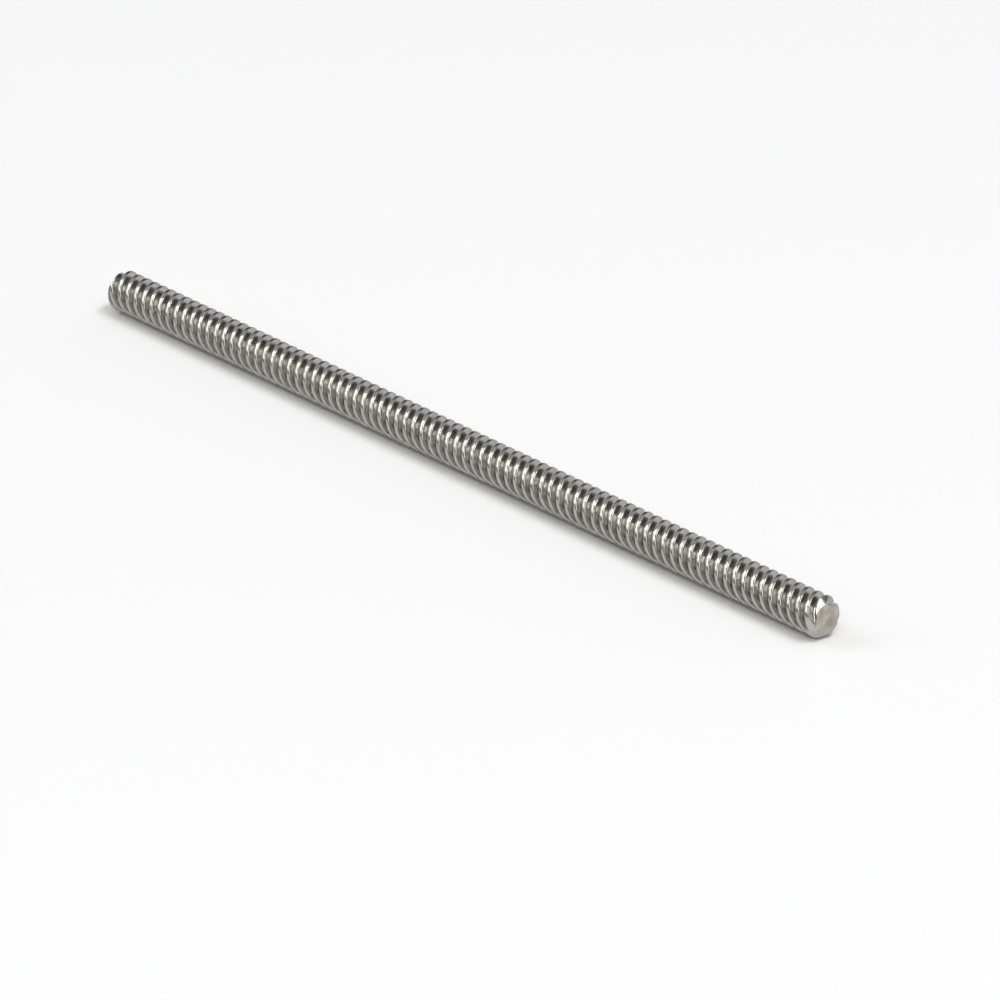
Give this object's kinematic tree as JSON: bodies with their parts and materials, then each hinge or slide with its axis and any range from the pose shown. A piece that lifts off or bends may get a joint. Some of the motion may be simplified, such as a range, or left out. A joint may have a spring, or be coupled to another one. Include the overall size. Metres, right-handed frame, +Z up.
{
  "type": "trapezoidal lead screw",
  "caption": "Straight steel lead screw with a coarse multi-start trapezoidal thread from end to end, flat end faces and chamfered ends.",
  "frame": {"origin": "centre of the flat end face at low X, on the screw's axis", "axes": "+X along the screw's axis from that end face to the other; +Z up as it lies, with Y square to both"},
  "size_m": [0.25, 0.01, 0.01],
  "materials": {
    "steel": "bright rolled and turned steel"
  },
  "bodies": {
    "root": {"lead_screw": "steel"}
  },
  "joints": []
}
